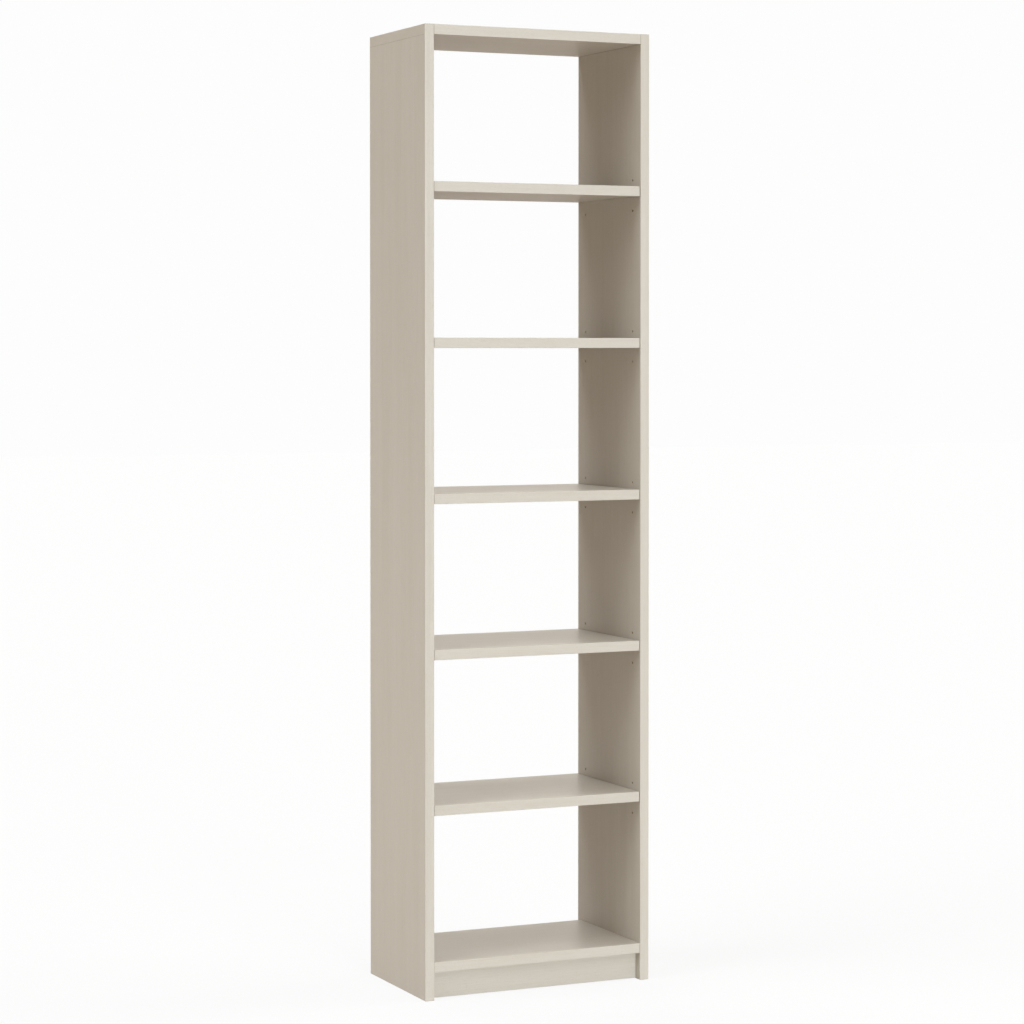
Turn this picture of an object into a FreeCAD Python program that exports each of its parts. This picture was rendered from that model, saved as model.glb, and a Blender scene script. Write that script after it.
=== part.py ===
# Tall open bookcase with five adjustable shelves, no back, and a recessed plinth.
#
# Frame: +X to the right, +Y to the back, +Z up. The origin is on the floor, at the
# centre of the case's footprint. Lengths are in millimetres.
#
# The sides stand on the floor and carry the top board, which lies over their upper ends.
# Each side's front lipping runs the full height and covers the end of the top board.
# The bottom board and the plinth are fixed between the sides. Each shelf rests on four
# pins, which lie inside stopped grooves in its underside, so it lifts straight up and off.

import FreeCAD
import Part
import os

# ---- Overall sizes -------------------------------------------------------------------
overall_width = 514.0
overall_depth = 300.0
overall_height = 2000.0

# ---- Boards --------------------------------------------------------------------------
side_thickness = 20.0
board_thickness = 21.0            # top, bottom and shelves
plinth_thickness = 18.0
lipping_thickness = 2.0           # the strip glued to each front edge
arris_radius = 0.6                # rounding of the edges that a hand can touch
joint_bevel = 0.3                 # fine bevel where two pieces meet flush

# ---- Fixed bottom and plinth ---------------------------------------------------------
bottom_top_height = 78.0          # upper face of the bottom board above the floor
bottom_front_setback = 1.0
bottom_back_inset = 15.0          # the bottom board stops short of the back of the sides
plinth_setback = 20.0
plinth_floor_gap = 1.0

# ---- Shelves and their pins ----------------------------------------------------------
shelf_count = 5
shelf_end_gap = 1.0
shelf_front_setback = 2.0
shelf_lift_clearance = 1.0        # left between a raised shelf and the board above it
hole_pitch = 32.0                 # spacing of the pin holes up the sides
spare_steps = 1                   # spare holes above and below the one in use
pin_diameter = 5.0
pin_length = 18.0
pin_seated_length = 10.0          # the part of the pin inside the side
pin_hole_depth = 12.0
pin_row_inset = 37.0              # from the front and the back of the side
pin_end_chamfer = 0.6
groove_side_clearance = 0.25
groove_end_clearance = 1.5
pin_recess = 0.5                  # the pin lies this far above the shelf's underside

# ---- Screws, caps and dowels of the top ----------------------------------------------
fixing_inset = 50.0               # screws and cams, from the front and the back
dowel_step = 32.0                 # a dowel stands this far further in than its screw or cam
cap_radius = 6.0
cap_thickness = 2.0
top_screw_length = 50.0
top_screw_head_radius = 5.0
top_screw_head_height = 4.0
top_screw_neck_radius = 3.5
top_screw_thread_radius = 2.5
screw_tip_length = 3.0            # the cone at the end of every screw
hex_socket_width = 4.0
hex_socket_depth = 2.5
dowel_radius = 4.0
dowel_length = 30.0
dowel_chamfer = 1.0
top_dowel_in_top = 12.0
end_dowel_in_side = 10.0

# ---- Cam fittings of the bottom ------------------------------------------------------
cam_radius = 7.5
cam_height = 14.5
cam_offset = 34.0                 # cam centre from the end of the board
cam_slot_length = 10.0
cam_slot_width = 1.6
cam_slot_depth = 2.0
cam_bolt_thread_radius = 2.5
cam_bolt_thread_length = 11.0
cam_bolt_shaft_radius = 3.0
cam_bolt_head_radius = 3.5
cam_bolt_head_length = 3.0
cam_bolt_clearance = 0.5

# ---- Blocks behind the plinth --------------------------------------------------------
block_offset = 120.0              # block centre from the middle of the plinth
block_width = 40.0
block_size = 20.0
block_chamfer = 6.0
block_screw_spacing = 20.0
wood_screw_length = 32.0
wood_screw_radius = 1.75
wood_screw_head_radius = 3.5
wood_screw_head_height = 2.2

# ---- Holes for a wall strap, in the back edge of the top -----------------------------
strap_hole_radius = 1.5
strap_hole_depth = 15.0
strap_hole_spacing = 32.0

# ---- Places worked out from the sizes ------------------------------------------------
floor = 0.0
front = -overall_depth / 2
back = overall_depth / 2
outer = overall_width / 2
inner = outer - side_thickness
shelf_end = inner - shelf_end_gap
top_underside = overall_height - board_thickness
bottom_underside = bottom_top_height - board_thickness
bottom_middle = bottom_top_height - board_thickness / 2
bottom_front = front + bottom_front_setback
bottom_back = back - bottom_back_inset
plinth_front = front + plinth_setback
plinth_back = plinth_front + plinth_thickness
plinth_middle = (plinth_floor_gap + bottom_underside) / 2
shelf_front = front + shelf_front_setback
pin_radius = pin_diameter / 2
groove_depth = pin_diameter + pin_recess
groove_half_width = pin_radius + groove_side_clearance
pin_rows = (front + pin_row_inset, back - pin_row_inset)
top_screw_rows = (front + fixing_inset, back - fixing_inset)
top_dowel_rows = (top_screw_rows[0] + dowel_step, top_screw_rows[1] - dowel_step)
cam_rows = (front + fixing_inset, bottom_back - fixing_inset)
bottom_dowel_rows = (cam_rows[0] + dowel_step, cam_rows[1] - dowel_step)

# The shelves share the height evenly, in whole steps of the pin holes, counted down
# from the top. What is left over goes to the lowest bay.
bay_steps = int((overall_height - bottom_top_height) / (shelf_count + 1) / hole_pitch)
shelf_spacing = bay_steps * hole_pitch
shelf_lift = shelf_spacing - board_thickness - shelf_lift_clearance

LEFT = -1
RIGHT = 1
X = FreeCAD.Vector(1, 0, 0)
Y = FreeCAD.Vector(0, 1, 0)
Z = FreeCAD.Vector(0, 0, 1)


def shelf_top(number):
    """Height of a shelf's upper face; shelf 1 is the lowest."""
    return overall_height - (shelf_count + 1 - number) * shelf_spacing


def pin_height(number):
    """Height of a shelf's pins: their upper side touches the roof of the groove."""
    return shelf_top(number) - board_thickness + groove_depth - pin_radius


# ---- Small shapes --------------------------------------------------------------------
def block(x_range, y_range, z_range):
    """A box between two limits along each axis, given in either order."""
    lows = [min(limits) for limits in (x_range, y_range, z_range)]
    sizes = [abs(limits[1] - limits[0]) for limits in (x_range, y_range, z_range)]
    return Part.makeBox(*sizes, FreeCAD.Vector(*lows))


def rod(radius, start, direction, length):
    """A round bar from a start point along a direction."""
    return Part.makeCylinder(radius, length, FreeCAD.Vector(*start), direction)


def pegged_rod(radius, start, direction, length, chamfer):
    """A round bar with a chamfer at both ends."""
    profile = [(radius - chamfer, 0), (radius, chamfer),
               (radius, length - chamfer), (radius - chamfer, length)]
    return turned(profile, start, direction)


def turned(profile, start, direction):
    """A turned solid: (radius, distance) points along its axis, spun about it."""
    points = [(0, profile[0][1])] + profile + [(0, profile[-1][1])]
    closed = [FreeCAD.Vector(radius, 0, along) for radius, along in points + points[:1]]
    solid = Part.Face(Part.makePolygon(closed)).revolve(FreeCAD.Vector(0, 0, 0), Z, 360)
    solid.Placement = FreeCAD.Placement(FreeCAD.Vector(*start), FreeCAD.Rotation(Z, direction))
    return solid


def edges_on(solid, **planes):
    """The straight edges that lie in every plane named, such as x=10, z=0."""
    def lies_on(edge, axis, value):
        box = edge.BoundBox
        low, high = getattr(box, axis.upper() + "Min"), getattr(box, axis.upper() + "Max")
        return abs(low - value) < 1e-4 and abs(high - value) < 1e-4
    return [edge for edge in solid.Edges if all(lies_on(edge, *plane) for plane in planes.items())]


def eased(solid, *places):
    """Round the arrises named by pairs of planes."""
    edges = [edge for place in places for edge in edges_on(solid, **place)]
    return solid.makeFillet(arris_radius, edges)


def bevelled(solid, *places):
    """Cut the fine bevel along the edges named by pairs of planes."""
    edges = [edge for place in places for edge in edges_on(solid, **place)]
    return solid.makeChamfer(joint_bevel, edges)


# ---- Fasteners -----------------------------------------------------------------------
def wood_screw(start, direction):
    """Countersunk screw, its head's face at the start point."""
    shank = wood_screw_length - screw_tip_length
    profile = [(wood_screw_head_radius, 0), (wood_screw_radius, wood_screw_head_height),
               (wood_screw_radius, shank), (0.01, wood_screw_length)]
    return turned(profile, start, direction)


def end_dowels(rows, height):
    """Dowels that cross from each side into the end of a board between the sides."""
    dowels = []
    for side in (LEFT, RIGHT):
        for y in rows:
            start = (side * (inner + end_dowel_in_side), y, height)
            dowels.append(pegged_rod(dowel_radius, start, X * -side, dowel_length, dowel_chamfer))
    return dowels


def top_screws():
    """Screws that go down through the top board into the ends of the sides."""
    head = top_screw_head_height
    neck_end = board_thickness - cap_thickness
    profile = [(top_screw_head_radius, 0), (top_screw_head_radius, head), (top_screw_neck_radius, head),
               (top_screw_neck_radius, neck_end), (top_screw_thread_radius, neck_end),
               (top_screw_thread_radius, top_screw_length - screw_tip_length), (0.01, top_screw_length)]
    screws = []
    for side in (LEFT, RIGHT):
        for y in top_screw_rows:
            start = (side * (inner + outer) / 2, y, overall_height - cap_thickness)
            screws.append(turned(profile, start, -Z))
    return screws


def hex_socket(screw_top):
    """The six-sided socket in the head of a screw."""
    socket = Part.Face(Part.makePolygon([
        screw_top + FreeCAD.Rotation(Z, 60 * corner).multVec(X * hex_socket_width / 3 ** 0.5)
        for corner in range(7)]))
    return socket.extrude(Z * -hex_socket_depth)


def socketed_top_screws():
    """The top's screws as they are sold, with a socket in each head."""
    screws = []
    for screw in top_screws():
        centre = screw.BoundBox.Center
        head = FreeCAD.Vector(centre.x, centre.y, overall_height - cap_thickness)
        screws.append(screw.cut(hex_socket(head)))
    return screws


def top_screw_caps():
    """Flush caps over the screw heads."""
    seat = overall_height - cap_thickness
    return [rod(cap_radius, (side * (inner + outer) / 2, y, seat), Z, cap_thickness)
            for side in (LEFT, RIGHT) for y in top_screw_rows]


def top_dowels():
    """Upright dowels between the sides and the top board."""
    return [pegged_rod(dowel_radius, (side * (inner + outer) / 2, y, top_underside + top_dowel_in_top),
                       -Z, dowel_length, dowel_chamfer)
            for side in (LEFT, RIGHT) for y in top_dowel_rows]


def cam_bolts():
    """Bolts screwed into the sides, whose heads sit inside the cams."""
    reach = cam_bolt_thread_length + cam_offset + cam_bolt_head_length / 2
    neck = reach - cam_bolt_head_length
    profile = [(cam_bolt_thread_radius, 0), (cam_bolt_thread_radius, cam_bolt_thread_length),
               (cam_bolt_shaft_radius, cam_bolt_thread_length), (cam_bolt_shaft_radius, neck),
               (cam_bolt_head_radius, neck), (cam_bolt_head_radius, reach)]
    return [turned(profile, (side * (inner + cam_bolt_thread_length), y, bottom_middle), X * -side)
            for side in (LEFT, RIGHT) for y in cam_rows]


def cams():
    """Cam nuts let into the underside of the bottom board, each open towards its bolt."""
    bore = cam_bolt_head_radius + cam_bolt_clearance
    pieces = []
    for side in (LEFT, RIGHT):
        for y in cam_rows:
            centre = side * (inner - cam_offset)
            cam = rod(cam_radius, (centre, y, bottom_underside), Z, cam_height)
            channel = block((centre - side * bore, centre + side * 2 * cam_radius), (y - bore, y + bore),
                            (bottom_middle - bore, bottom_middle + bore))
            half_length, half_width = cam_slot_length / 2, cam_slot_width / 2
            slot_heights = (bottom_underside, bottom_underside + cam_slot_depth)
            across = block((centre - half_length, centre + half_length), (y - half_width, y + half_width),
                           slot_heights)
            along = block((centre - half_width, centre + half_width), (y - half_length, y + half_length),
                          slot_heights)
            pieces.append(cam.cut([channel, across, along]))
    return pieces


def block_centres():
    """The middles of the blocks along the plinth."""
    return (-block_offset, block_offset)


def block_screws():
    """Two screws a block: one up into the bottom board, one forward into the plinth."""
    screws = []
    for x in block_centres():
        up = (x + block_screw_spacing / 2, plinth_back + block_size / 2, bottom_underside - block_size)
        forward = (x - block_screw_spacing / 2, plinth_back + block_size, bottom_underside - block_size / 2)
        screws.append(wood_screw(up, Z))
        screws.append(wood_screw(forward, -Y))
    return screws


def plinth_blocks():
    """Corner blocks in the angle between the plinth and the bottom board."""
    pieces = []
    for x in block_centres():
        piece = block((x - block_width / 2, x + block_width / 2), (plinth_back, plinth_back + block_size),
                      (bottom_underside - block_size, bottom_underside))
        corner = edges_on(piece, y=plinth_back + block_size, z=bottom_underside - block_size)
        pieces.append(piece.makeChamfer(block_chamfer, corner).cut(block_screws()))
    return pieces


def shelf_pins(number):
    """Four plain pins in the sides, under the ends of one shelf."""
    return [pegged_rod(pin_radius, (side * (inner + pin_seated_length), y, pin_height(number)),
                       X * -side, pin_length, pin_end_chamfer)
            for side in (LEFT, RIGHT) for y in pin_rows]


# ---- Carcass -------------------------------------------------------------------------
def pin_holes(side):
    """Blind holes in a side's inner face: those in use, and spares above and below."""
    holes = []
    for number in range(1, shelf_count + 1):
        for step in range(-spare_steps, spare_steps + 1):
            height = pin_height(number) + step * hole_pitch
            for y in pin_rows:
                holes.append(rod(pin_radius, (side * inner, y, height), X * side, pin_hole_depth))
    return holes


def side_panel(side):
    """Upright panel, from the floor to the underside of the top board."""
    panel = block((side * inner, side * outer), (front + lipping_thickness, back), (floor, top_underside))
    panel = eased(panel, dict(x=side * outer, y=back), dict(x=side * inner, y=back),
                  dict(x=side * outer, z=floor), dict(x=side * inner, z=floor))
    panel = bevelled(panel, dict(x=side * outer, z=top_underside))
    dowels = top_dowels() + end_dowels(bottom_dowel_rows, bottom_middle) + plinth_dowels()
    return panel.cut(pin_holes(side) + top_screws() + cam_bolts() + dowels)


def side_lipping(side):
    """Front strip of a side, full height, across the end of the top board."""
    strip = block((side * inner, side * outer), (front, front + lipping_thickness), (floor, overall_height))
    return eased(strip, dict(x=side * outer, y=front), dict(x=side * inner, y=front),
                 dict(y=front, z=overall_height), dict(x=side * outer, z=overall_height),
                 dict(y=front, z=floor))


def top_board():
    """Top board, which lies over both sides, with its screw, dowel and strap holes."""
    board = block((-outer, outer), (front + lipping_thickness, back), (top_underside, overall_height))
    board = eased(board, dict(x=-outer, z=overall_height), dict(x=outer, z=overall_height),
                  dict(y=back, z=overall_height), dict(x=-outer, y=back), dict(x=outer, y=back),
                  dict(y=back, z=top_underside))
    straps = [rod(strap_hole_radius, (x, back, top_underside + board_thickness / 2), -Y, strap_hole_depth)
              for x in (-strap_hole_spacing / 2, strap_hole_spacing / 2)]
    return board.cut(top_screws() + top_screw_caps() + top_dowels() + straps)


def top_lipping():
    """Front strip of the top board, between the strips of the sides."""
    strip = block((-inner, inner), (front, front + lipping_thickness), (top_underside, overall_height))
    return eased(strip, dict(y=front, z=overall_height), dict(y=front, z=top_underside))


def bottom_board():
    """Fixed bottom board between the sides, with its cam, bolt, dowel and screw holes."""
    board = block((-inner, inner), (bottom_front + lipping_thickness, bottom_back),
                  (bottom_underside, bottom_top_height))
    board = eased(board, dict(y=bottom_back, z=bottom_top_height), dict(y=bottom_back, z=bottom_underside))
    bores = []
    for side in (LEFT, RIGHT):
        for y in cam_rows:
            centre = side * (inner - cam_offset)
            bores.append(rod(cam_radius, (centre, y, bottom_underside), Z, cam_height))
            bolt_bore = cam_offset + cam_bolt_head_radius + cam_bolt_clearance
            bores.append(rod(cam_bolt_head_radius + cam_bolt_clearance, (side * inner, y, bottom_middle),
                             X * -side, bolt_bore))
    return board.cut(bores + end_dowels(bottom_dowel_rows, bottom_middle) + block_screws())


def bottom_lipping():
    """Front strip of the bottom board."""
    strip = block((-inner, inner), (bottom_front, bottom_front + lipping_thickness),
                  (bottom_underside, bottom_top_height))
    return eased(strip, dict(y=bottom_front, z=bottom_top_height), dict(y=bottom_front, z=bottom_underside))


def plinth_dowels():
    """One dowel at each end of the plinth."""
    return end_dowels((plinth_front + plinth_thickness / 2,), plinth_middle)


def plinth_board():
    """Upright board under the front of the bottom board, set back between the sides."""
    board = block((-inner, inner), (plinth_front, plinth_back), (plinth_floor_gap, bottom_underside))
    board = eased(board, dict(y=plinth_front, z=plinth_floor_gap))
    return board.cut(plinth_dowels() + block_screws())


# ---- Shelves -------------------------------------------------------------------------
def pin_grooves(number):
    """Stopped grooves in a shelf's underside, one over each pin, with a round inner end."""
    underside = shelf_top(number) - board_thickness
    pin_tip = inner + pin_seated_length - pin_length
    arc_centre = pin_tip - groove_end_clearance + groove_half_width
    grooves = []
    for side in (LEFT, RIGHT):
        for y in pin_rows:
            sides = (y - groove_half_width, y + groove_half_width)
            straight = block((side * arc_centre, side * inner), sides, (underside, underside + groove_depth))
            round_end = rod(groove_half_width, (side * arc_centre, y, underside), Z, groove_depth)
            grooves.append(straight.fuse(round_end))
    return grooves


def shelf_board(number):
    """Loose shelf board, as deep as the sides, with its grooves."""
    top = shelf_top(number)
    board = block((-shelf_end, shelf_end), (shelf_front + lipping_thickness, back),
                  (top - board_thickness, top))
    board = eased(board, dict(y=back, z=top), dict(y=back, z=top - board_thickness))
    return board.cut(pin_grooves(number))


def shelf_lipping(number):
    """Front strip of a shelf."""
    top = shelf_top(number)
    strip = block((-shelf_end, shelf_end), (shelf_front, shelf_front + lipping_thickness),
                  (top - board_thickness, top))
    return eased(strip, dict(y=shelf_front, z=top), dict(y=shelf_front, z=top - board_thickness))


# ---- All pieces ----------------------------------------------------------------------
def carcass_pieces():
    """Everything that stays put when a shelf is lifted."""
    return {
        "left_side_panel": side_panel(LEFT),
        "right_side_panel": side_panel(RIGHT),
        "left_side_lipping": side_lipping(LEFT),
        "right_side_lipping": side_lipping(RIGHT),
        "top_board": top_board(),
        "top_lipping": top_lipping(),
        "top_screws": socketed_top_screws(),
        "top_screw_caps": top_screw_caps(),
        "top_dowels": top_dowels(),
        "bottom_board": bottom_board(),
        "bottom_lipping": bottom_lipping(),
        "bottom_cams": cams(),
        "bottom_cam_bolts": cam_bolts(),
        "bottom_dowels": end_dowels(bottom_dowel_rows, bottom_middle),
        "plinth_board": plinth_board(),
        "plinth_dowels": plinth_dowels(),
        "plinth_blocks": plinth_blocks(),
        "plinth_block_screws": block_screws(),
    }


def shelf_pieces(number):
    """One shelf, its front strip and its four pins."""
    return {
        f"shelf_{number}_board": shelf_board(number),
        f"shelf_{number}_lipping": shelf_lipping(number),
        f"shelf_{number}_pins": shelf_pins(number),
    }


def export(name, shape):
    """Write one node: a single solid, or a group of separate alike solids."""
    solid = Part.makeCompound(shape) if isinstance(shape, list) else shape
    solid.exportStep(os.path.join("parts", name + ".step"))


os.makedirs("parts", exist_ok=True)
pieces = carcass_pieces()
for shelf_number in range(1, shelf_count + 1):
    pieces.update(shelf_pieces(shelf_number))
for piece_name, piece_shape in pieces.items():
    export(piece_name, piece_shape)
print(len(pieces), "nodes; each shelf lifts", shelf_lift, "mm")
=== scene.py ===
# Tall open bookcase with five loose shelves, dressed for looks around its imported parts.
# Lengths are in metres, in the frame of the parts: X to the right, Y to the back, Z up.

import math

import bpy
import numpy as np
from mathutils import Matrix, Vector


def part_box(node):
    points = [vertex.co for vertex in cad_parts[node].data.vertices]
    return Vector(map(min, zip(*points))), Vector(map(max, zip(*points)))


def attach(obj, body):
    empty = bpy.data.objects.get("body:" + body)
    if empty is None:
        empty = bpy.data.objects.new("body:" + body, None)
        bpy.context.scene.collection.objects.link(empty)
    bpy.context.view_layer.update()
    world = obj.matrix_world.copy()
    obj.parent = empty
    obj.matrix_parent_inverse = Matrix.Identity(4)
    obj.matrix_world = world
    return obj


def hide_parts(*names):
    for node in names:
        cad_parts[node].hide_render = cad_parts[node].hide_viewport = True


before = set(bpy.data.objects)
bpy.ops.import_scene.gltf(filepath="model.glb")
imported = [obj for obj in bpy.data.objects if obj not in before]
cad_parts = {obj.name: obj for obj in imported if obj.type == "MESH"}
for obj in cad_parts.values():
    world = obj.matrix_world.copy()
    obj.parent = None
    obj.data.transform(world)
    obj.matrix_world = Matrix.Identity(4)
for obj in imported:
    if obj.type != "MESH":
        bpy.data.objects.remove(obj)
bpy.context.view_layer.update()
MM = 0.001


# ---- Side panels -----------------------------------------------------------------------
# Two uprights of fibreboard, faced with a fine straight-grained veneer that runs up them
# and sprayed with clay-coloured satin lacquer. The pin holes are drilled after spraying,
# so their walls show the pale brown core.

CLAY_SHADE = "b9b2a2"       # the lacquer over the denser, warmer grain
CLAY_LIGHT = "d2cec5"       # and over the open grain
FILLED_PORE = "a3957f"
CORE_BROWN = "c3a982"
CORE_FLECK = "a98d66"
LACQUER_ROUGHNESS = (0.38, 0.47)
CORE_ROUGHNESS = 0.85
LACQUER_IOR = 1.5
SKIN_DEPTH = 0.7 * MM       # veneer and lacquer over the core
JOINT_PAINTED_SHADE = "8d806c"      # painted shade, a thin dark line where shade falls in the seam between two parts
JOINT_WIDTH = 1.3 * MM

# Millimetres across and along the grain. Real fibres are under 1 mm wide, so the streaks
# are drawn broader than that, to show from a few metres away.
GRAIN_LAYERS = {"figure": (34, 900), "streak": (5.5, 260), "fibre": (1.1, 40), "pore": (0.4, 6)}
GRAIN_SHARES = {"figure": 0.3, "streak": 0.3, "fibre": 0.4}
GRAIN_DETAIL = 2.0
PORE_RANGE = (0.6, 0.75)    # of the pore layer, from no pore to a full one
PORE_DARKNESS = 0.45
STREAK_RANGE = (0.3, 0.7)   # of the streak layer, from the shiniest lacquer to the dullest
CUT_SHIFT = (1.0, 1.7, 2.3) # along X, Y and Z, so that no two leaves look alike
FLECK_SIZE = 0.9 * MM
PEEL_SIZE = 2.5 * MM        # the faint ripple that sprayed lacquer dries with
RELIEF = {"peel": (0.25, 0.02), "fibre": (0.3, 0.03), "pore": (0.5, 0.05)}    # strength and mm
GAP_PAINTED_SHADE = 0.7             # how dark the painted shade line is where a board ends, in a gap or against its neighbour
TIGHT_PAINTED_SHADE = 1.0           # and at the ends of the strips that are pressed against their neighbours
NO_PAINTED_SHADE = 0.0
SIDE_CUTS = {"left_side_panel": 0.0, "right_side_panel": 11.3}


def linear(hex_colour):
    """The linear RGBA of an sRGB hex colour."""
    srgb = np.array([int(hex_colour[k:k + 2], 16) / 255 for k in (0, 2, 4)])
    rgb = np.where(srgb <= 0.04045, srgb / 12.92, ((srgb + 0.055) / 1.055) ** 2.4)
    return (*rgb, 1.0)


def add(tree, kind, settings=None, **sockets):
    """Add a node; a socket is given a value, or another node's output to link from."""
    node = tree.nodes.new("ShaderNode" + kind)
    for name, value in (settings or {}).items():
        setattr(node, name, value)
    for name, value in sockets.items():
        key = int(name[1:]) if name[0] == "i" and name[1:].isdigit() else name.replace("_", " ")
        if isinstance(value, bpy.types.NodeSocket):
            tree.links.new(value, node.inputs[key])
        else:
            node.inputs[key].default_value = value
    return node


def new_material(name):
    """An empty node material with a Principled surface; returns it, its tree and its shader."""
    material = bpy.data.materials.new(name)
    material.use_nodes = True
    return material, material.node_tree, material.node_tree.nodes["Principled BSDF"]


def lacquered_veneer(node_name, along, cut, seam_shade=GAP_PAINTED_SHADE):
    """Satin lacquer over straight-grained veneer on one board, with the bare core in its bores.

    along is the axis that the grain follows, cut is any number and says where in the log the
    leaf was cut, and joint is how dark the painted shade is at the two ends of the grain.
    """
    material, tree, shader = new_material("satin_clay_veneer_" + node_name)
    place = add(tree, "TexCoord").outputs["Object"]

    # Grain: each layer is noise stretched along the board.
    layers = {}
    shift = [cut * step for step in CUT_SHIFT]
    for layer, (across_mm, along_mm) in GRAIN_LAYERS.items():
        scale = [1 / ((along_mm if axis == along else across_mm) * MM) for axis in "XYZ"]
        cells = add(tree, "Mapping", Vector=place, Location=shift, Scale=scale).outputs[0]
        layers[layer] = add(tree, "TexNoise", Vector=cells, Scale=1.0, Detail=GRAIN_DETAIL).outputs["Fac"]
    tone = 0.5
    for layer, share in GRAIN_SHARES.items():
        centred = add(tree, "Math", {"operation": "SUBTRACT"}, i0=layers[layer], i1=0.5).outputs[0]
        tone = add(tree, "Math", {"operation": "MULTIPLY_ADD"}, i0=centred, i1=share, i2=tone).outputs[0]
    veneer = add(tree, "Mix", {"data_type": "RGBA"}, Factor=tone, i6=linear(CLAY_SHADE),
                 i7=linear(CLAY_LIGHT)).outputs[2]
    pore = add(tree, "MapRange", Value=layers["pore"], From_Min=PORE_RANGE[0], From_Max=PORE_RANGE[1],
               To_Max=PORE_DARKNESS).outputs[0]
    veneer = add(tree, "Mix", {"data_type": "RGBA"}, Factor=pore, i6=veneer,
                 i7=linear(FILLED_PORE)).outputs[2]

    # Core: below the skin on every side, so inside a hole or a groove.
    low, high = (np.array(corner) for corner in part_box(node_name))
    offset = add(tree, "VectorMath", {"operation": "SUBTRACT"}, i0=place, i1=(low + high) / 2).outputs[0]
    reach = add(tree, "VectorMath", {"operation": "ABSOLUTE"}, i0=offset).outputs[0]
    past = add(tree, "VectorMath", {"operation": "SUBTRACT"}, i0=reach, i1=(high - low) / 2 - SKIN_DEPTH)
    past_axis = add(tree, "SeparateXYZ", Vector=past.outputs[0]).outputs
    past_xy = add(tree, "Math", {"operation": "MAXIMUM"}, i0=past_axis[0], i1=past_axis[1]).outputs[0]
    past_any = add(tree, "Math", {"operation": "MAXIMUM"}, i0=past_xy, i1=past_axis[2]).outputs[0]
    in_core = add(tree, "Math", {"operation": "LESS_THAN"}, i0=past_any, i1=0.0).outputs[0]
    fleck = add(tree, "TexNoise", Vector=place, Scale=1 / FLECK_SIZE, Detail=3.0).outputs["Fac"]
    core = add(tree, "Mix", {"data_type": "RGBA"}, Factor=fleck, i6=linear(CORE_FLECK),
               i7=linear(CORE_BROWN)).outputs[2]

    # Painted shade: a thin dark line at both ends of the grain, where shade falls in the seam.
    line = add(tree, "MapRange", Value=past_axis["XYZ".index(along)], From_Min=SKIN_DEPTH - JOINT_WIDTH,
               From_Max=SKIN_DEPTH, To_Max=seam_shade).outputs[0]
    veneer = add(tree, "Mix", {"data_type": "RGBA"}, Factor=line, i6=veneer,
                 i7=linear(JOINT_PAINTED_SHADE)).outputs[2]

    colour = add(tree, "Mix", {"data_type": "RGBA"}, Factor=in_core, i6=veneer, i7=core).outputs[2]
    sheen = add(tree, "MapRange", Value=layers["streak"], From_Min=STREAK_RANGE[0], From_Max=STREAK_RANGE[1],
                To_Min=LACQUER_ROUGHNESS[0], To_Max=LACQUER_ROUGHNESS[1]).outputs[0]
    rough = add(tree, "Mix", Factor=in_core, i2=sheen, i3=CORE_ROUGHNESS).outputs[0]

    # Relief: the film ripples, fibres show through it as ridges, and pores sink.
    peel = add(tree, "TexNoise", Vector=place, Scale=1 / PEEL_SIZE, Detail=1.0).outputs["Fac"]
    strength, height_mm = RELIEF["peel"]
    film = add(tree, "Bump", Height=peel, Strength=strength, Distance=height_mm * MM).outputs[0]
    strength, height_mm = RELIEF["fibre"]
    fibres = add(tree, "Bump", Height=layers["fibre"], Strength=strength, Distance=height_mm * MM,
                 Normal=film).outputs[0]
    strength, height_mm = RELIEF["pore"]
    relief = add(tree, "Bump", {"invert": True}, Height=pore, Strength=strength, Distance=height_mm * MM,
                 Normal=fibres).outputs[0]

    tree.links.new(colour, shader.inputs["Base Color"])
    tree.links.new(rough, shader.inputs["Roughness"])
    tree.links.new(relief, shader.inputs["Normal"])
    shader.inputs["IOR"].default_value = LACQUER_IOR
    return material


def finish_node(name, material):
    """Give a part of the frame its material."""
    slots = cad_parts[name].data.materials
    slots.clear()
    slots.append(material)


# Each side gets a painted shade line at its top and at its foot, where it meets the top board and the floor.
for node_name, cut in SIDE_CUTS.items():
    finish_node(node_name, lacquered_veneer(node_name, "Z", cut))


# ---- Top board -------------------------------------------------------------------------
# One board of the same make, laid over the ends of the sides, with its grain running from
# side to side.

TOP_CUT = 31.7

finish_node("top_board", lacquered_veneer("top_board", "X", TOP_CUT, NO_PAINTED_SHADE))


# ---- Fixed bottom and plinth -----------------------------------------------------------
# The bottom board and the upright plinth board under it are cut from the same sheets and
# sprayed on all faces. Their grain runs from side to side too.

BASE_CUTS = {"bottom_board": 47.9, "plinth_board": 59.1}

# Both get a painted shade line at their two ends, against the sides.
for node_name, cut in BASE_CUTS.items():
    finish_node(node_name, lacquered_veneer(node_name, "X", cut))


# ---- Loose shelves ---------------------------------------------------------------------
# Five shelves, which only rest on their pins. Each comes from another leaf of veneer, and
# the grooves for the pins are milled into the underside through the lacquer.

SHELVES = range(1, 6)
SHELF_CUT = 71.3
SHELF_CUT_STEP = 13.7

# Each shelf gets a painted shade line at its two ends, in the gap to the sides.
for number in SHELVES:
    node_name = f"shelf_{number}_board"
    cut = SHELF_CUT + SHELF_CUT_STEP * number
    finish_node(node_name, lacquered_veneer(node_name, "X", cut))


# ---- Front strips ----------------------------------------------------------------------
# Strips of the same veneer, several leaves thick, pressed onto the front edge of every
# board and sanded flush before spraying. On the sides they run up, elsewhere across.

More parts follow.
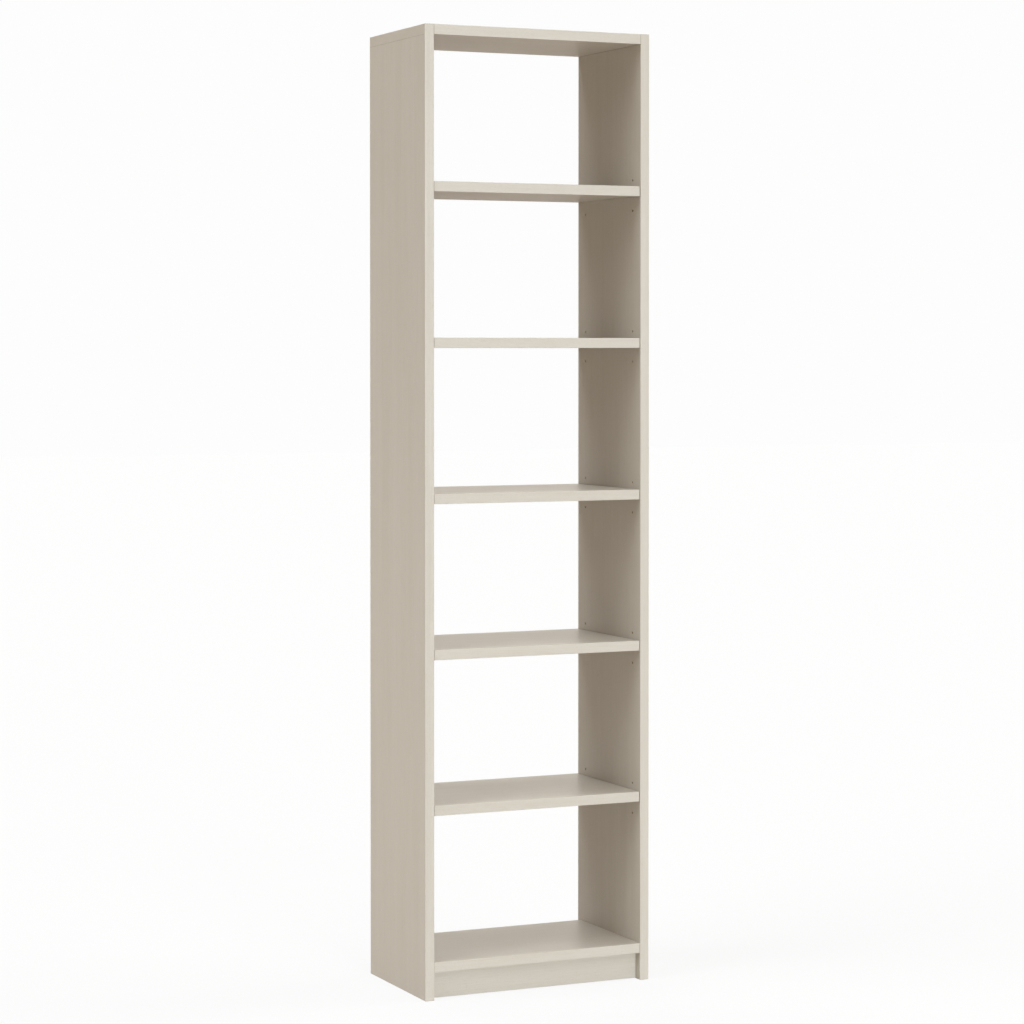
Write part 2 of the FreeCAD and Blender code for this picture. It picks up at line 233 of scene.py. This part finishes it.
STRIPS = ["left_side_lipping", "right_side_lipping", "top_lipping", "bottom_lipping"]
STRIPS += [f"shelf_{number}_lipping" for number in SHELVES]
TIGHT_STRIPS = {"top_lipping", "bottom_lipping"}    # these are pressed against the sides, and get the darker painted shade line
STRIP_CUT = 150.3
STRIP_CUT_STEP = 9.1

for place_in_row, node_name in enumerate(STRIPS):
    along = "Z" if "side" in node_name else "X"
    cut = STRIP_CUT + STRIP_CUT_STEP * place_in_row
    # The painted shade line at each end is darker on the strips pressed against the sides.
    seam_shade = TIGHT_PAINTED_SHADE if node_name in TIGHT_STRIPS else GAP_PAINTED_SHADE
    finish_node(node_name, lacquered_veneer(node_name, along, cut, seam_shade))


# ---- Shelf pins ------------------------------------------------------------------------
# Plain turned steel pins with rounded noses, plated with nickel. They are pushed into the
# sides by hand, and the shelf's grooves drop over them.

PIN_LENGTH = 18 * MM
PIN_NOSE = 1.1 * MM
PIN_COLUMNS = 28
NOSE_ROWS = 7
SHARP_ANGLE = 40            # degrees between faces, past which an edge is shaded sharp
NICKEL = "c9c6bf"
NICKEL_SMUDGE = "b3aea4"
NICKEL_ROUGHNESS = 0.28
NICKEL_MARK = 0.35 * MM
PLATE_CLOUD = 4 * MM
PLATE_SPREAD = (-0.08, 0.1) # of roughness, from clean to smudged
MARK_DEPTH = 0.01 * MM


def ring(columns):
    """Angles round an axis, one for each column of a skin."""
    return np.linspace(0, 2 * np.pi, columns, endpoint=False)


def turned_skin(radius, along, start, direction, columns):
    """A skin about an axis: start + along * direction + radius * (cos a * side + sin a * up)."""
    direction = np.array(direction, dtype=float)
    side = np.roll(direction, 1)
    up = np.cross(direction, side)
    angle = ring(columns)[None, :, None]
    radius = np.broadcast_to(radius, (len(along), columns))[..., None]
    along = np.broadcast_to(along, (len(along), columns))[..., None]
    return np.array(start) + along * direction + radius * (np.cos(angle) * side + np.sin(angle) * up)


def closed_mesh(name, skins):
    """Closed skins in one mesh: quads between rows, and a fan at the first and the last row."""
    points, faces, first = [], [], 0
    for skin in skins:
        rows, columns = skin.shape[:2]
        index = first + np.arange(rows * columns).reshape(rows, columns)
        beside = np.roll(index, -1, axis=1)
        bands = np.stack([index[:-1], beside[:-1], beside[1:], index[1:]], axis=-1).reshape(-1, 4)
        near, far = np.full(columns, first + rows * columns), np.full(columns, first + rows * columns + 1)
        points += [skin.reshape(-1, 3), skin[[0, -1]].mean(axis=1)]
        faces += bands.tolist() + np.stack([near, beside[0], index[0]], axis=-1).tolist()
        faces += np.stack([far, index[-1], beside[-1]], axis=-1).tolist()
        first += rows * columns + 2
    mesh = bpy.data.meshes.new(name)
    mesh.from_pydata(np.concatenate(points).tolist(), [], faces)
    mesh.shade_smooth()
    mesh.set_sharp_from_angle(angle=math.radians(SHARP_ANGLE))
    return mesh


def fit_piece(name, skins, material, node, body="carcass"):
    """Make a piece from its skins and stand it in for the plain part of the frame."""
    piece = bpy.data.objects.new(name, closed_mesh(name, skins))
    bpy.context.scene.collection.objects.link(piece)
    piece.data.materials.append(material)
    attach(piece, body)
    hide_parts(node)
    return piece


def rounded_rod(radius, length, nose):
    """Profile of a rod: a quarter circle, a straight run, and a quarter circle back."""
    turn = np.linspace(0, np.pi / 2, NOSE_ROWS)
    nose_radius = radius - nose + nose * np.sin(turn)
    nose_along = nose * (1 - np.cos(turn))
    radius = np.concatenate([nose_radius, nose_radius[::-1]])
    along = np.concatenate([nose_along, length - nose_along[::-1]])
    return radius, along


def plated_metal(name, base, smudge, roughness, mark):
    """Bright plating on turned steel: fine tool marks of one size, and faint smudges."""
    material, tree, shader = new_material(name)
    place = add(tree, "TexCoord").outputs["Object"]
    cloud = add(tree, "TexNoise", Vector=place, Scale=1 / PLATE_CLOUD, Detail=2.0).outputs["Fac"]
    colour = add(tree, "Mix", {"data_type": "RGBA"}, Factor=cloud, i6=linear(base),
                 i7=linear(smudge)).outputs[2]
    rough = add(tree, "MapRange", Value=cloud, To_Min=roughness + PLATE_SPREAD[0],
                To_Max=roughness + PLATE_SPREAD[1]).outputs[0]
    marks = add(tree, "TexNoise", Vector=place, Scale=1 / mark, Detail=1.0).outputs["Fac"]
    relief = add(tree, "Bump", Height=marks, Strength=0.3, Distance=MARK_DEPTH).outputs[0]
    tree.links.new(colour, shader.inputs["Base Color"])
    tree.links.new(rough, shader.inputs["Roughness"])
    tree.links.new(relief, shader.inputs["Normal"])
    shader.inputs["Metallic"].default_value = 1.0
    return material


nickel = plated_metal("nickel_plated_steel", NICKEL, NICKEL_SMUDGE, NICKEL_ROUGHNESS, NICKEL_MARK)
for number in SHELVES:
    low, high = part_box(f"shelf_{number}_pins")
    pin_radius = (high[2] - low[2]) / 2
    pin_height = (high[2] + low[2]) / 2
    profile_radius, profile_along = rounded_rod(pin_radius, PIN_LENGTH, PIN_NOSE)
    skins = [turned_skin(profile_radius[:, None], profile_along[:, None], (end, row, pin_height),
                         (inward, 0, 0), PIN_COLUMNS)
             for end, inward in ((low[0], 1), (high[0], -1))
             for row in (low[1] + pin_radius, high[1] - pin_radius)]
    fit_piece(f"shelf_{number}_steel_pins", skins, nickel, f"shelf_{number}_pins")


# ---- Screws of the top -----------------------------------------------------------------
# Four one-piece connecting screws with a hexagon socket and a coarse thread, zinc plated,
# driven down through the top board into the sides.

SCREW_LENGTH = 50 * MM
SCREW_HEAD = (5.0 * MM, 4.0 * MM)       # radius and height
SCREW_NECK = (3.5 * MM, 19.0 * MM)      # radius, and where it ends below the head's face
SCREW_CHAMFER = 0.4 * MM
SCREW_COLUMNS = 36
SCREW_THREAD = 2.5 * MM
THREAD_PITCH = 3.0 * MM
THREAD_DEPTH = 0.75 * MM
THREAD_ROWS = 12                        # a turn
RIDGE_SLOPE = 2.6
SCREW_POINT = 3.0 * MM
POINT_ROWS = {0.5: 0.6, 1.0: 0.12}      # shares of the point's length and of the thread's radius
HEX_ACROSS = 4.0 * MM
HEX_DEPTH = 2.5 * MM
HEX_CHAMFER = 0.2 * MM
SOCKET_FLOOR = 0.3                      # share of the socket's outline, where its floor's fan starts
ZINC_PLATE = "c2c4c6"
ZINC_TINT = "b9b59c"
ZINC_ROUGHNESS = 0.36
ZINC_MARK = 0.5 * MM


def threaded_rows(radius, depth, pitch, begin, end, angle):
    """Rows of a thread: radius less a ridge wave that climbs one pitch a turn, faded at both ends."""
    along = np.linspace(begin, end, int((end - begin) / pitch * THREAD_ROWS) + 2)[:, None]
    phase = (along / pitch - angle / (2 * np.pi)) % 1
    valley = np.minimum(1, RIDGE_SLOPE * np.abs(phase - 0.5))
    fade = np.clip(np.minimum(along - begin, end - along) / pitch, 0, 1)
    return radius - depth * (1 - fade * (1 - valley)), np.broadcast_to(along, valley.shape)


def screw_skin(head_rows, thread, point, start, direction, columns):
    """A screw: rows of its head and shank, then the thread, then a cone to its point."""
    thread_radius, thread_along = thread
    tip_radius = thread_radius[-1:] * np.array(list(POINT_ROWS.values()))[:, None]
    tip_along = thread_along[-1:] + point * np.array(list(POINT_ROWS))[:, None]
    head_radius = np.array([np.broadcast_to(radius, (columns,)) for radius, _ in head_rows])
    head_along = np.array([np.full(columns, along) for _, along in head_rows])
    radius = np.concatenate([head_radius, thread_radius, tip_radius])
    along = np.concatenate([head_along, thread_along, tip_along])
    return turned_skin(radius, along, start, direction, columns)


zinc_plate = plated_metal("zinc_plated_steel", ZINC_PLATE, ZINC_TINT, ZINC_ROUGHNESS, ZINC_MARK)
angle = ring(SCREW_COLUMNS)
hex_outline = HEX_ACROSS / 2 / np.cos((angle + np.pi / 6) % (np.pi / 3) - np.pi / 6)
head_radius, head_height = SCREW_HEAD
neck_radius, neck_end = SCREW_NECK
head_rows = [(hex_outline * SOCKET_FLOOR, HEX_DEPTH), (hex_outline, HEX_DEPTH), (hex_outline, HEX_CHAMFER),
             (hex_outline + HEX_CHAMFER, 0), (head_radius - SCREW_CHAMFER, 0), (head_radius, SCREW_CHAMFER),
             (head_radius, head_height), (neck_radius, head_height), (neck_radius, neck_end)]
thread = threaded_rows(SCREW_THREAD, THREAD_DEPTH, THREAD_PITCH, neck_end,
                       SCREW_LENGTH - SCREW_POINT, angle)
low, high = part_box("top_screws")
skins = [screw_skin(head_rows, thread, SCREW_POINT, (x, y, high[2]), (0, 0, -1), SCREW_COLUMNS)
         for x in (low[0] + head_radius, high[0] - head_radius)
         for y in (low[1] + head_radius, high[1] - head_radius)]
fit_piece("top_connecting_screws", skins, zinc_plate, "top_screws")


# ---- Screw caps ------------------------------------------------------------------------
# Small moulded caps, coloured like the lacquer, pressed over the screw heads until they
# are flush with the top. Their faces are very slightly crowned.

CAP_RADIUS = 6.0 * MM
CAP_CROWN = 0.15 * MM
CAP_EDGE = 0.35 * MM
CAP_FOOT = 0.2 * MM         # chamfer at the foot
CAP_COLUMNS = 40
CAP_EDGE_ROWS = 6
CAP_FACE_ROWS = 8
CAP_CENTRE = 0.05           # share of the face's radius, inside which it is flat
CAP_CLAY = "c3b9a9"
CAP_CLAY_DARK = "b9ae9c"
CAP_ROUGHNESS = 0.45
CAP_SPARK = 0.5 * MM
PLASTIC_IOR = 1.49
PLASTIC_FLOW = 12 * MM      # size of the cloudy flow marks
SPARK_DEPTH = 0.03 * MM
SPARK_SPREAD = 0.08         # of roughness, either way


def moulded_plastic(name, base, darker, roughness, spark_size):
    """Moulded plastic with the fine, even spark texture of its mould."""
    material, tree, shader = new_material(name)
    place = add(tree, "TexCoord").outputs["Object"]
    flow = add(tree, "TexNoise", Vector=place, Scale=1 / PLASTIC_FLOW, Detail=2.0).outputs["Fac"]
    colour = add(tree, "Mix", {"data_type": "RGBA"}, Factor=flow, i6=linear(base),
                 i7=linear(darker)).outputs[2]
    spark = add(tree, "TexNoise", Vector=place, Scale=1 / spark_size, Detail=2.0).outputs["Fac"]
    rough = add(tree, "MapRange", Value=spark, To_Min=roughness - SPARK_SPREAD,
                To_Max=roughness + SPARK_SPREAD).outputs[0]
    relief = add(tree, "Bump", Height=spark, Strength=0.4, Distance=SPARK_DEPTH).outputs[0]
    tree.links.new(colour, shader.inputs["Base Color"])
    tree.links.new(rough, shader.inputs["Roughness"])
    tree.links.new(relief, shader.inputs["Normal"])
    shader.inputs["IOR"].default_value = PLASTIC_IOR
    return material


low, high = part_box("top_screw_caps")
cap_height = high[2] - low[2]

# The profile is a chamfered foot, a straight side, a quarter circle and a flat parabola.
turn = np.linspace(0, np.pi / 2, CAP_EDGE_ROWS)
crown = np.linspace(1, CAP_CENTRE, CAP_FACE_ROWS)[1:]
edge_radius = CAP_RADIUS - CAP_EDGE * (1 - np.cos(turn))
edge_along = cap_height - CAP_CROWN - CAP_EDGE * (1 - np.sin(turn))
profile_radius = np.concatenate([[CAP_RADIUS - CAP_FOOT, CAP_RADIUS], edge_radius,
                                 (CAP_RADIUS - CAP_EDGE) * crown])
profile_along = np.concatenate([[0, CAP_FOOT], edge_along, cap_height - CAP_CROWN * crown ** 2])
skins = [turned_skin(profile_radius[:, None], profile_along[:, None], (x, y, low[2]), (0, 0, 1), CAP_COLUMNS)
         for x in (low[0] + CAP_RADIUS, high[0] - CAP_RADIUS)
         for y in (low[1] + CAP_RADIUS, high[1] - CAP_RADIUS)]
cap_plastic = moulded_plastic("clay_cap_plastic", CAP_CLAY, CAP_CLAY_DARK, CAP_ROUGHNESS, CAP_SPARK)
fit_piece("moulded_screw_caps", skins, cap_plastic, "top_screw_caps")


# ---- Dowels ----------------------------------------------------------------------------
# Fluted beech dowels, chamfered at both ends, glued between the sides and the boards that
# they carry. The flutes let air and glue out of the hole.

DOWEL_RADIUS = 4 * MM
DOWEL_LENGTH = 30 * MM
DOWEL_CHAMFER = 1.0 * MM
FLUTES = 20
FLUTE_COLUMNS = 6           # a flute
FLUTE_DEPTH = 0.28 * MM
BEECH = "d2b187"
BEECH_RAY = "b88f62"
BEECH_ROUGHNESS = 0.7
RAY_MM = (0.7, 9)           # across and along the grain
RAY_RANGE = (0.45, 0.7)
RAY_DEPTH = 0.05 * MM


def fluted_skin(start, direction):
    """A dowel: its radius dips by a squared cosine wave at each flute, and tapers at the chamfers."""
    columns = FLUTES * FLUTE_COLUMNS
    flutes = FLUTE_DEPTH * (0.5 - 0.5 * np.cos(FLUTES * ring(columns))) ** 2
    taper = np.array([DOWEL_CHAMFER, 0, 0, DOWEL_CHAMFER])[:, None]
    along = np.array([0, DOWEL_CHAMFER, DOWEL_LENGTH - DOWEL_CHAMFER, DOWEL_LENGTH])[:, None]
    return turned_skin(DOWEL_RADIUS - np.maximum(flutes, taper), along, start, direction, columns)


def raw_beech(name, along):
    """Raw beech turned to a rod: pinkish, with short darker rays along the grain."""
    material, tree, shader = new_material(name)
    place = add(tree, "TexCoord").outputs["Object"]
    scale = [1 / (RAY_MM[axis == along] * MM) for axis in "XYZ"]
    cells = add(tree, "Mapping", Vector=place, Scale=scale).outputs[0]
    ray = add(tree, "TexNoise", Vector=cells, Scale=1.0, Detail=3.0).outputs["Fac"]
    dark = add(tree, "MapRange", Value=ray, From_Min=RAY_RANGE[0], From_Max=RAY_RANGE[1]).outputs[0]
    colour = add(tree, "Mix", {"data_type": "RGBA"}, Factor=dark, i6=linear(BEECH),
                 i7=linear(BEECH_RAY)).outputs[2]
    relief = add(tree, "Bump", Height=ray, Strength=0.4, Distance=RAY_DEPTH).outputs[0]
    tree.links.new(colour, shader.inputs["Base Color"])
    tree.links.new(relief, shader.inputs["Normal"])
    shader.inputs["Roughness"].default_value = BEECH_ROUGHNESS
    return material


beech_across = raw_beech("raw_beech_across", "X")
low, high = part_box("top_dowels")
skins = [fluted_skin((x, y, high[2]), (0, 0, -1))
         for x in (low[0] + DOWEL_RADIUS, high[0] - DOWEL_RADIUS)
         for y in (low[1] + DOWEL_RADIUS, high[1] - DOWEL_RADIUS)]
fit_piece("fluted_top_dowels", skins, raw_beech("raw_beech_upright", "Z"), "top_dowels")

# The bottom has two rows of dowels. The plinth has one, where both ends of its box give the same row.
for board in ("bottom", "plinth"):
    low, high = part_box(f"{board}_dowels")
    rows = sorted({round(low[1] + DOWEL_RADIUS, 4), round(high[1] - DOWEL_RADIUS, 4)})
    height = (low[2] + high[2]) / 2
    skins = [fluted_skin((end, row, height), (inward, 0, 0))
             for end, inward in ((low[0], 1), (high[0], -1)) for row in rows]
    fit_piece(f"fluted_{board}_dowels", skins, beech_across, f"{board}_dowels")


# ---- Cams of the bottom ----------------------------------------------------------------
# Die-cast zinc cam nuts, let into the underside of the bottom board. The skin of a casting
# is dull and slightly grainy.

DIE_CAST = "a9abac"
DIE_CAST_DARK = "8d8f91"
DIE_CAST_ROUGHNESS = (0.45, 0.62)
CAST_CLOUD = 5 * MM
CAST_GRAIN = 0.35 * MM
CAST_DEPTH = 0.04 * MM


def die_cast_zinc():
    """Dull cast zinc: cloudy grey with a fine grain."""
    material, tree, shader = new_material("die_cast_zinc")
    place = add(tree, "TexCoord").outputs["Object"]
    cloud = add(tree, "TexNoise", Vector=place, Scale=1 / CAST_CLOUD, Detail=4.0).outputs["Fac"]
    colour = add(tree, "Mix", {"data_type": "RGBA"}, Factor=cloud, i6=linear(DIE_CAST),
                 i7=linear(DIE_CAST_DARK)).outputs[2]
    grain = add(tree, "TexNoise", Vector=place, Scale=1 / CAST_GRAIN, Detail=2.0).outputs["Fac"]
    rough = add(tree, "MapRange", Value=grain, To_Min=DIE_CAST_ROUGHNESS[0],
                To_Max=DIE_CAST_ROUGHNESS[1]).outputs[0]
    relief = add(tree, "Bump", Height=grain, Strength=0.5, Distance=CAST_DEPTH).outputs[0]
    tree.links.new(colour, shader.inputs["Base Color"])
    tree.links.new(rough, shader.inputs["Roughness"])
    tree.links.new(relief, shader.inputs["Normal"])
    shader.inputs["Metallic"].default_value = 1.0
    return material


finish_node("bottom_cams", die_cast_zinc())


# ---- Cam bolts -------------------------------------------------------------------------
# Steel bolts with a wood thread in the side, a plain shaft, and a waisted head that the
# cam draws in.

BOLT_LENGTH = 46.5 * MM
BOLT_TIP = (1.6 * MM, 0.5 * MM)         # radius, and length before the thread
BOLT_THREAD = (2.5 * MM, 11 * MM)       # radius, and where it ends
BOLT_PITCH = 2.4 * MM
BOLT_THREAD_DEPTH = 0.6 * MM
BOLT_SHAFT = 3.0 * MM
BOLT_SHAFT_CHAMFER = 0.3 * MM
BOLT_WAIST = (1.9 * MM, 5.0 * MM)       # radius and length
BOLT_WAIST_CONE = 1.0 * MM
BOLT_HEAD = (3.5 * MM, 3.0 * MM)        # radius and length
BOLT_HEAD_CONE = 0.6 * MM
BOLT_HEAD_STEPS = (0.5 * MM, 0.7 * MM)  # how far each end of the head is turned down

low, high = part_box("bottom_cam_bolts")
tip_radius, tip_end = BOLT_TIP
thread_crest, thread_end = BOLT_THREAD
waist_radius, waist_length = BOLT_WAIST
head_radius, head_length = BOLT_HEAD
head_start = BOLT_LENGTH - head_length
waist_start = head_start - waist_length
thread_radius, thread_along = threaded_rows(thread_crest, BOLT_THREAD_DEPTH, BOLT_PITCH, tip_end,
                                            thread_end, angle)
shaft_rows = [(BOLT_SHAFT - BOLT_SHAFT_CHAMFER, thread_end),
              (BOLT_SHAFT, thread_end + BOLT_SHAFT_CHAMFER),
              (BOLT_SHAFT, waist_start), (waist_radius, waist_start + BOLT_WAIST_CONE),
              (waist_radius, head_start), (head_radius - BOLT_HEAD_STEPS[0], head_start),
              (head_radius, head_start + BOLT_HEAD_CONE), (head_radius, BOLT_LENGTH - BOLT_HEAD_CONE),
              (head_radius - BOLT_HEAD_STEPS[1], BOLT_LENGTH)]
even_row = np.ones((1, SCREW_COLUMNS))
bolt_radius = np.concatenate([tip_radius * even_row, thread_radius,
                              np.array([radius * even_row[0] for radius, _ in shaft_rows])])
bolt_along = np.concatenate([0 * even_row, thread_along,
                             np.array([along * even_row[0] for _, along in shaft_rows])])
height = (low[2] + high[2]) / 2
skins = [turned_skin(bolt_radius, bolt_along, (end, row, height), (inward, 0, 0), SCREW_COLUMNS)
         for end, inward in ((low[0], 1), (high[0], -1))
         for row in (low[1] + head_radius, high[1] - head_radius)]
fit_piece("waisted_cam_bolts", skins, zinc_plate, "bottom_cam_bolts")


# ---- Plinth blocks ---------------------------------------------------------------------
# Two moulded corner blocks in the angle behind the plinth, screwed to it and to the bottom
# board.

BLOCK_GREIGE = "c9c1b3"
BLOCK_GREIGE_DARK = "bfb6a6"
BLOCK_ROUGHNESS = 0.5
BLOCK_SPARK = 0.8 * MM

finish_node("plinth_blocks", moulded_plastic("greige_block_plastic", BLOCK_GREIGE, BLOCK_GREIGE_DARK,
                                             BLOCK_ROUGHNESS, BLOCK_SPARK))


# ---- Block screws ----------------------------------------------------------------------
# Four countersunk wood screws with a cross recess, two in each block: one goes up into the
# bottom board and one forward into the plinth.

WOOD_SCREW = (1.75 * MM, 32 * MM)       # radius and length
WOOD_HEAD = (3.5 * MM, 2.2 * MM)        # radius and height
WOOD_HEAD_EDGE = 0.15 * MM
WOOD_SHANK = (0.8, 9 * MM)              # share of the radius, and where the thread starts
WOOD_PITCH = 1.8 * MM
WOOD_THREAD_DEPTH = 0.5 * MM
CROSS_REACH = 1.9 * MM
CROSS_WIDTH = 0.9 * MM
CROSS_DEPTH = 1.6 * MM
CROSS_TAPER = 0.6                       # share of the outline left at the recess's floor
BLOCK_MIDDLE = 20 * MM                  # from a block's outer end
SCREW_OFFSET = 10 * MM                  # of its screws, either way from its middle

cross_outline = np.minimum(CROSS_REACH, CROSS_WIDTH / 2 / np.maximum(
    np.minimum(np.abs(np.sin(angle)), np.abs(np.cos(angle))), 1e-3))
screw_radius, screw_length = WOOD_SCREW
head_radius, head_height = WOOD_HEAD
shank_share, thread_start = WOOD_SHANK
head_rows = [(cross_outline * SOCKET_FLOOR, CROSS_DEPTH), (cross_outline * CROSS_TAPER, CROSS_DEPTH),
             (cross_outline, 0), (head_radius - WOOD_HEAD_EDGE, 0), (head_radius, WOOD_HEAD_EDGE),
             (screw_radius, head_height), (screw_radius * shank_share, thread_start)]
thread = threaded_rows(screw_radius, WOOD_THREAD_DEPTH, WOOD_PITCH, thread_start,
                       screw_length - SCREW_POINT, angle)
block_low, block_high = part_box("plinth_blocks")
block_size = block_high[2] - block_low[2]
skins = []
for side_edge, inward in ((block_low[0], 1), (block_high[0], -1)):
    middle = side_edge + inward * BLOCK_MIDDLE
    up_start = (middle + SCREW_OFFSET, block_high[1] - block_size / 2, block_low[2])
    forward_start = (middle - SCREW_OFFSET, block_high[1], block_low[2] + block_size / 2)
    skins.append(screw_skin(head_rows, thread, SCREW_POINT, up_start, (0, 0, 1), SCREW_COLUMNS))
    skins.append(screw_skin(head_rows, thread, SCREW_POINT, forward_start, (0, -1, 0), SCREW_COLUMNS))
fit_piece("cross_head_block_screws", skins, zinc_plate, "plinth_block_screws")


# ---- Studio ----------------------------------------------------------------------------
# A plain pale floor that hardly darkens under the case, a hidden one of warm grey that throws
# light back up, and broad distant lamps: low ones that are a little cool, and higher ones.

BACKDROP = "fdfdfd"
FLOOR_SIZE = 60.0
FLOOR_GLOW = 0.85
BOUNCE_DROP = 1 * MM        # the hidden floor lies this far under the shown one
FLOOR_PAINT = "626262"
BOUNCE_PAINT = "c8c0b7"
SKY_FILL = (0.13, 0.07, 0.04)   # a faint warm light that fills the recesses


def plain_floor(name, height, colour, glow):
    """A square of matt floor, with a glow that evens out its shadows."""
    half = FLOOR_SIZE / 2
    corners = [(-half, -half, height), (half, -half, height), (half, half, height), (-half, half, height)]
    mesh = bpy.data.meshes.new(name)
    mesh.from_pydata(corners, [], [(0, 1, 2, 3)])
    paint, _, shader = new_material(name + "_paint")
    shader.inputs["Base Color"].default_value = linear(colour)
    shader.inputs["Roughness"].default_value = 1.0
    shader.inputs["Specular IOR Level"].default_value = 0.0
    shader.inputs["Emission Color"].default_value = (1, 1, 1, 1)
    shader.inputs["Emission Strength"].default_value = glow
    mesh.materials.append(paint)
    floor = bpy.data.objects.new(name, mesh)
    bpy.context.scene.collection.objects.link(floor)
    return floor


shown_floor = plain_floor("floor", 0.0, FLOOR_PAINT, FLOOR_GLOW)
shown_floor.visible_diffuse = shown_floor.visible_glossy = shown_floor.visible_shadow = False
bounce_floor = plain_floor("bounce_floor", -BOUNCE_DROP, BOUNCE_PAINT, 0.0)
bounce_floor.visible_camera = False

world = bpy.data.worlds.new("studio")
world.use_nodes = True
backdrop = world.node_tree.nodes["Background"]
backdrop.inputs["Color"].default_value = linear(BACKDROP)
fill = add(world.node_tree, "Background", Color=(*SKY_FILL, 1), Strength=1.0)
seen = add(world.node_tree, "LightPath").outputs["Is Camera Ray"]
sky = add(world.node_tree, "MixShader", i0=seen, i1=fill.outputs[0], i2=backdrop.outputs[0])
world.node_tree.links.new(sky.outputs[0], world.node_tree.nodes["World Output"].inputs["Surface"])
bpy.context.scene.world = world
bpy.context.scene.view_settings.view_transform = "Standard"


def broad_lamp(name, azimuth, height, spread, strength, colour):
    """A distant lamp, in degrees: azimuth from the front towards the right, height, and breadth."""
    lamp = bpy.data.lights.new(name, "SUN")
    lamp.angle = math.radians(spread)
    lamp.energy = strength
    lamp.color = colour
    holder = bpy.data.objects.new(name, lamp)
    turn, climb = math.radians(azimuth), math.radians(height)
    towards = Vector((math.cos(climb) * math.sin(turn), -math.cos(climb) * math.cos(turn), math.sin(climb)))
    holder.rotation_euler = towards.to_track_quat("Z", "Y").to_euler()
    bpy.context.scene.collection.objects.link(holder)


broad_lamp("front_low", 0, 8, 16, 2.02, (0.86, 0.93, 1.0))
broad_lamp("front_high", 0, 42, 40, 0.46, (0.98, 1.0, 1.0))
broad_lamp("right_front_high", 60, 42, 40, 0.38, (0.98, 1.0, 1.0))
broad_lamp("right_high", 90, 42, 40, 0.9, (0.97, 0.99, 1.0))
broad_lamp("right_low", 90, 8, 16, 0.45, (0.93, 0.97, 1.0))
broad_lamp("left_high", 270, 42, 40, 1.6, (0.92, 0.96, 1.0))
broad_lamp("left_front", 290, 30, 40, 0.57, (0.96, 0.99, 1.0))
broad_lamp("back_right_low", 150, 8, 30, 0.3, (1.0, 0.97, 0.9))
broad_lamp("back_high", 180, 42, 40, 0.75, (0.97, 0.99, 1.0))


# ---- Camera ----------------------------------------------------------------------------
# It stands in front and to the left, at the height of the fourth shelf, and looks level.

CAMERA_PLACE = (-2.607, -5.683, 1.336)
CAMERA_HEADING = -24.703
CAMERA_TILT = 88.94
CAMERA_LENS = 103.5
CAMERA_SHIFT = -0.1056

camera = bpy.data.objects.new("camera", bpy.data.cameras.new("camera"))
camera.location = CAMERA_PLACE
camera.rotation_euler = (math.radians(CAMERA_TILT), 0, math.radians(CAMERA_HEADING))
camera.data.lens = CAMERA_LENS
camera.data.shift_y = CAMERA_SHIFT
bpy.context.scene.collection.objects.link(camera)
bpy.context.scene.camera = camera
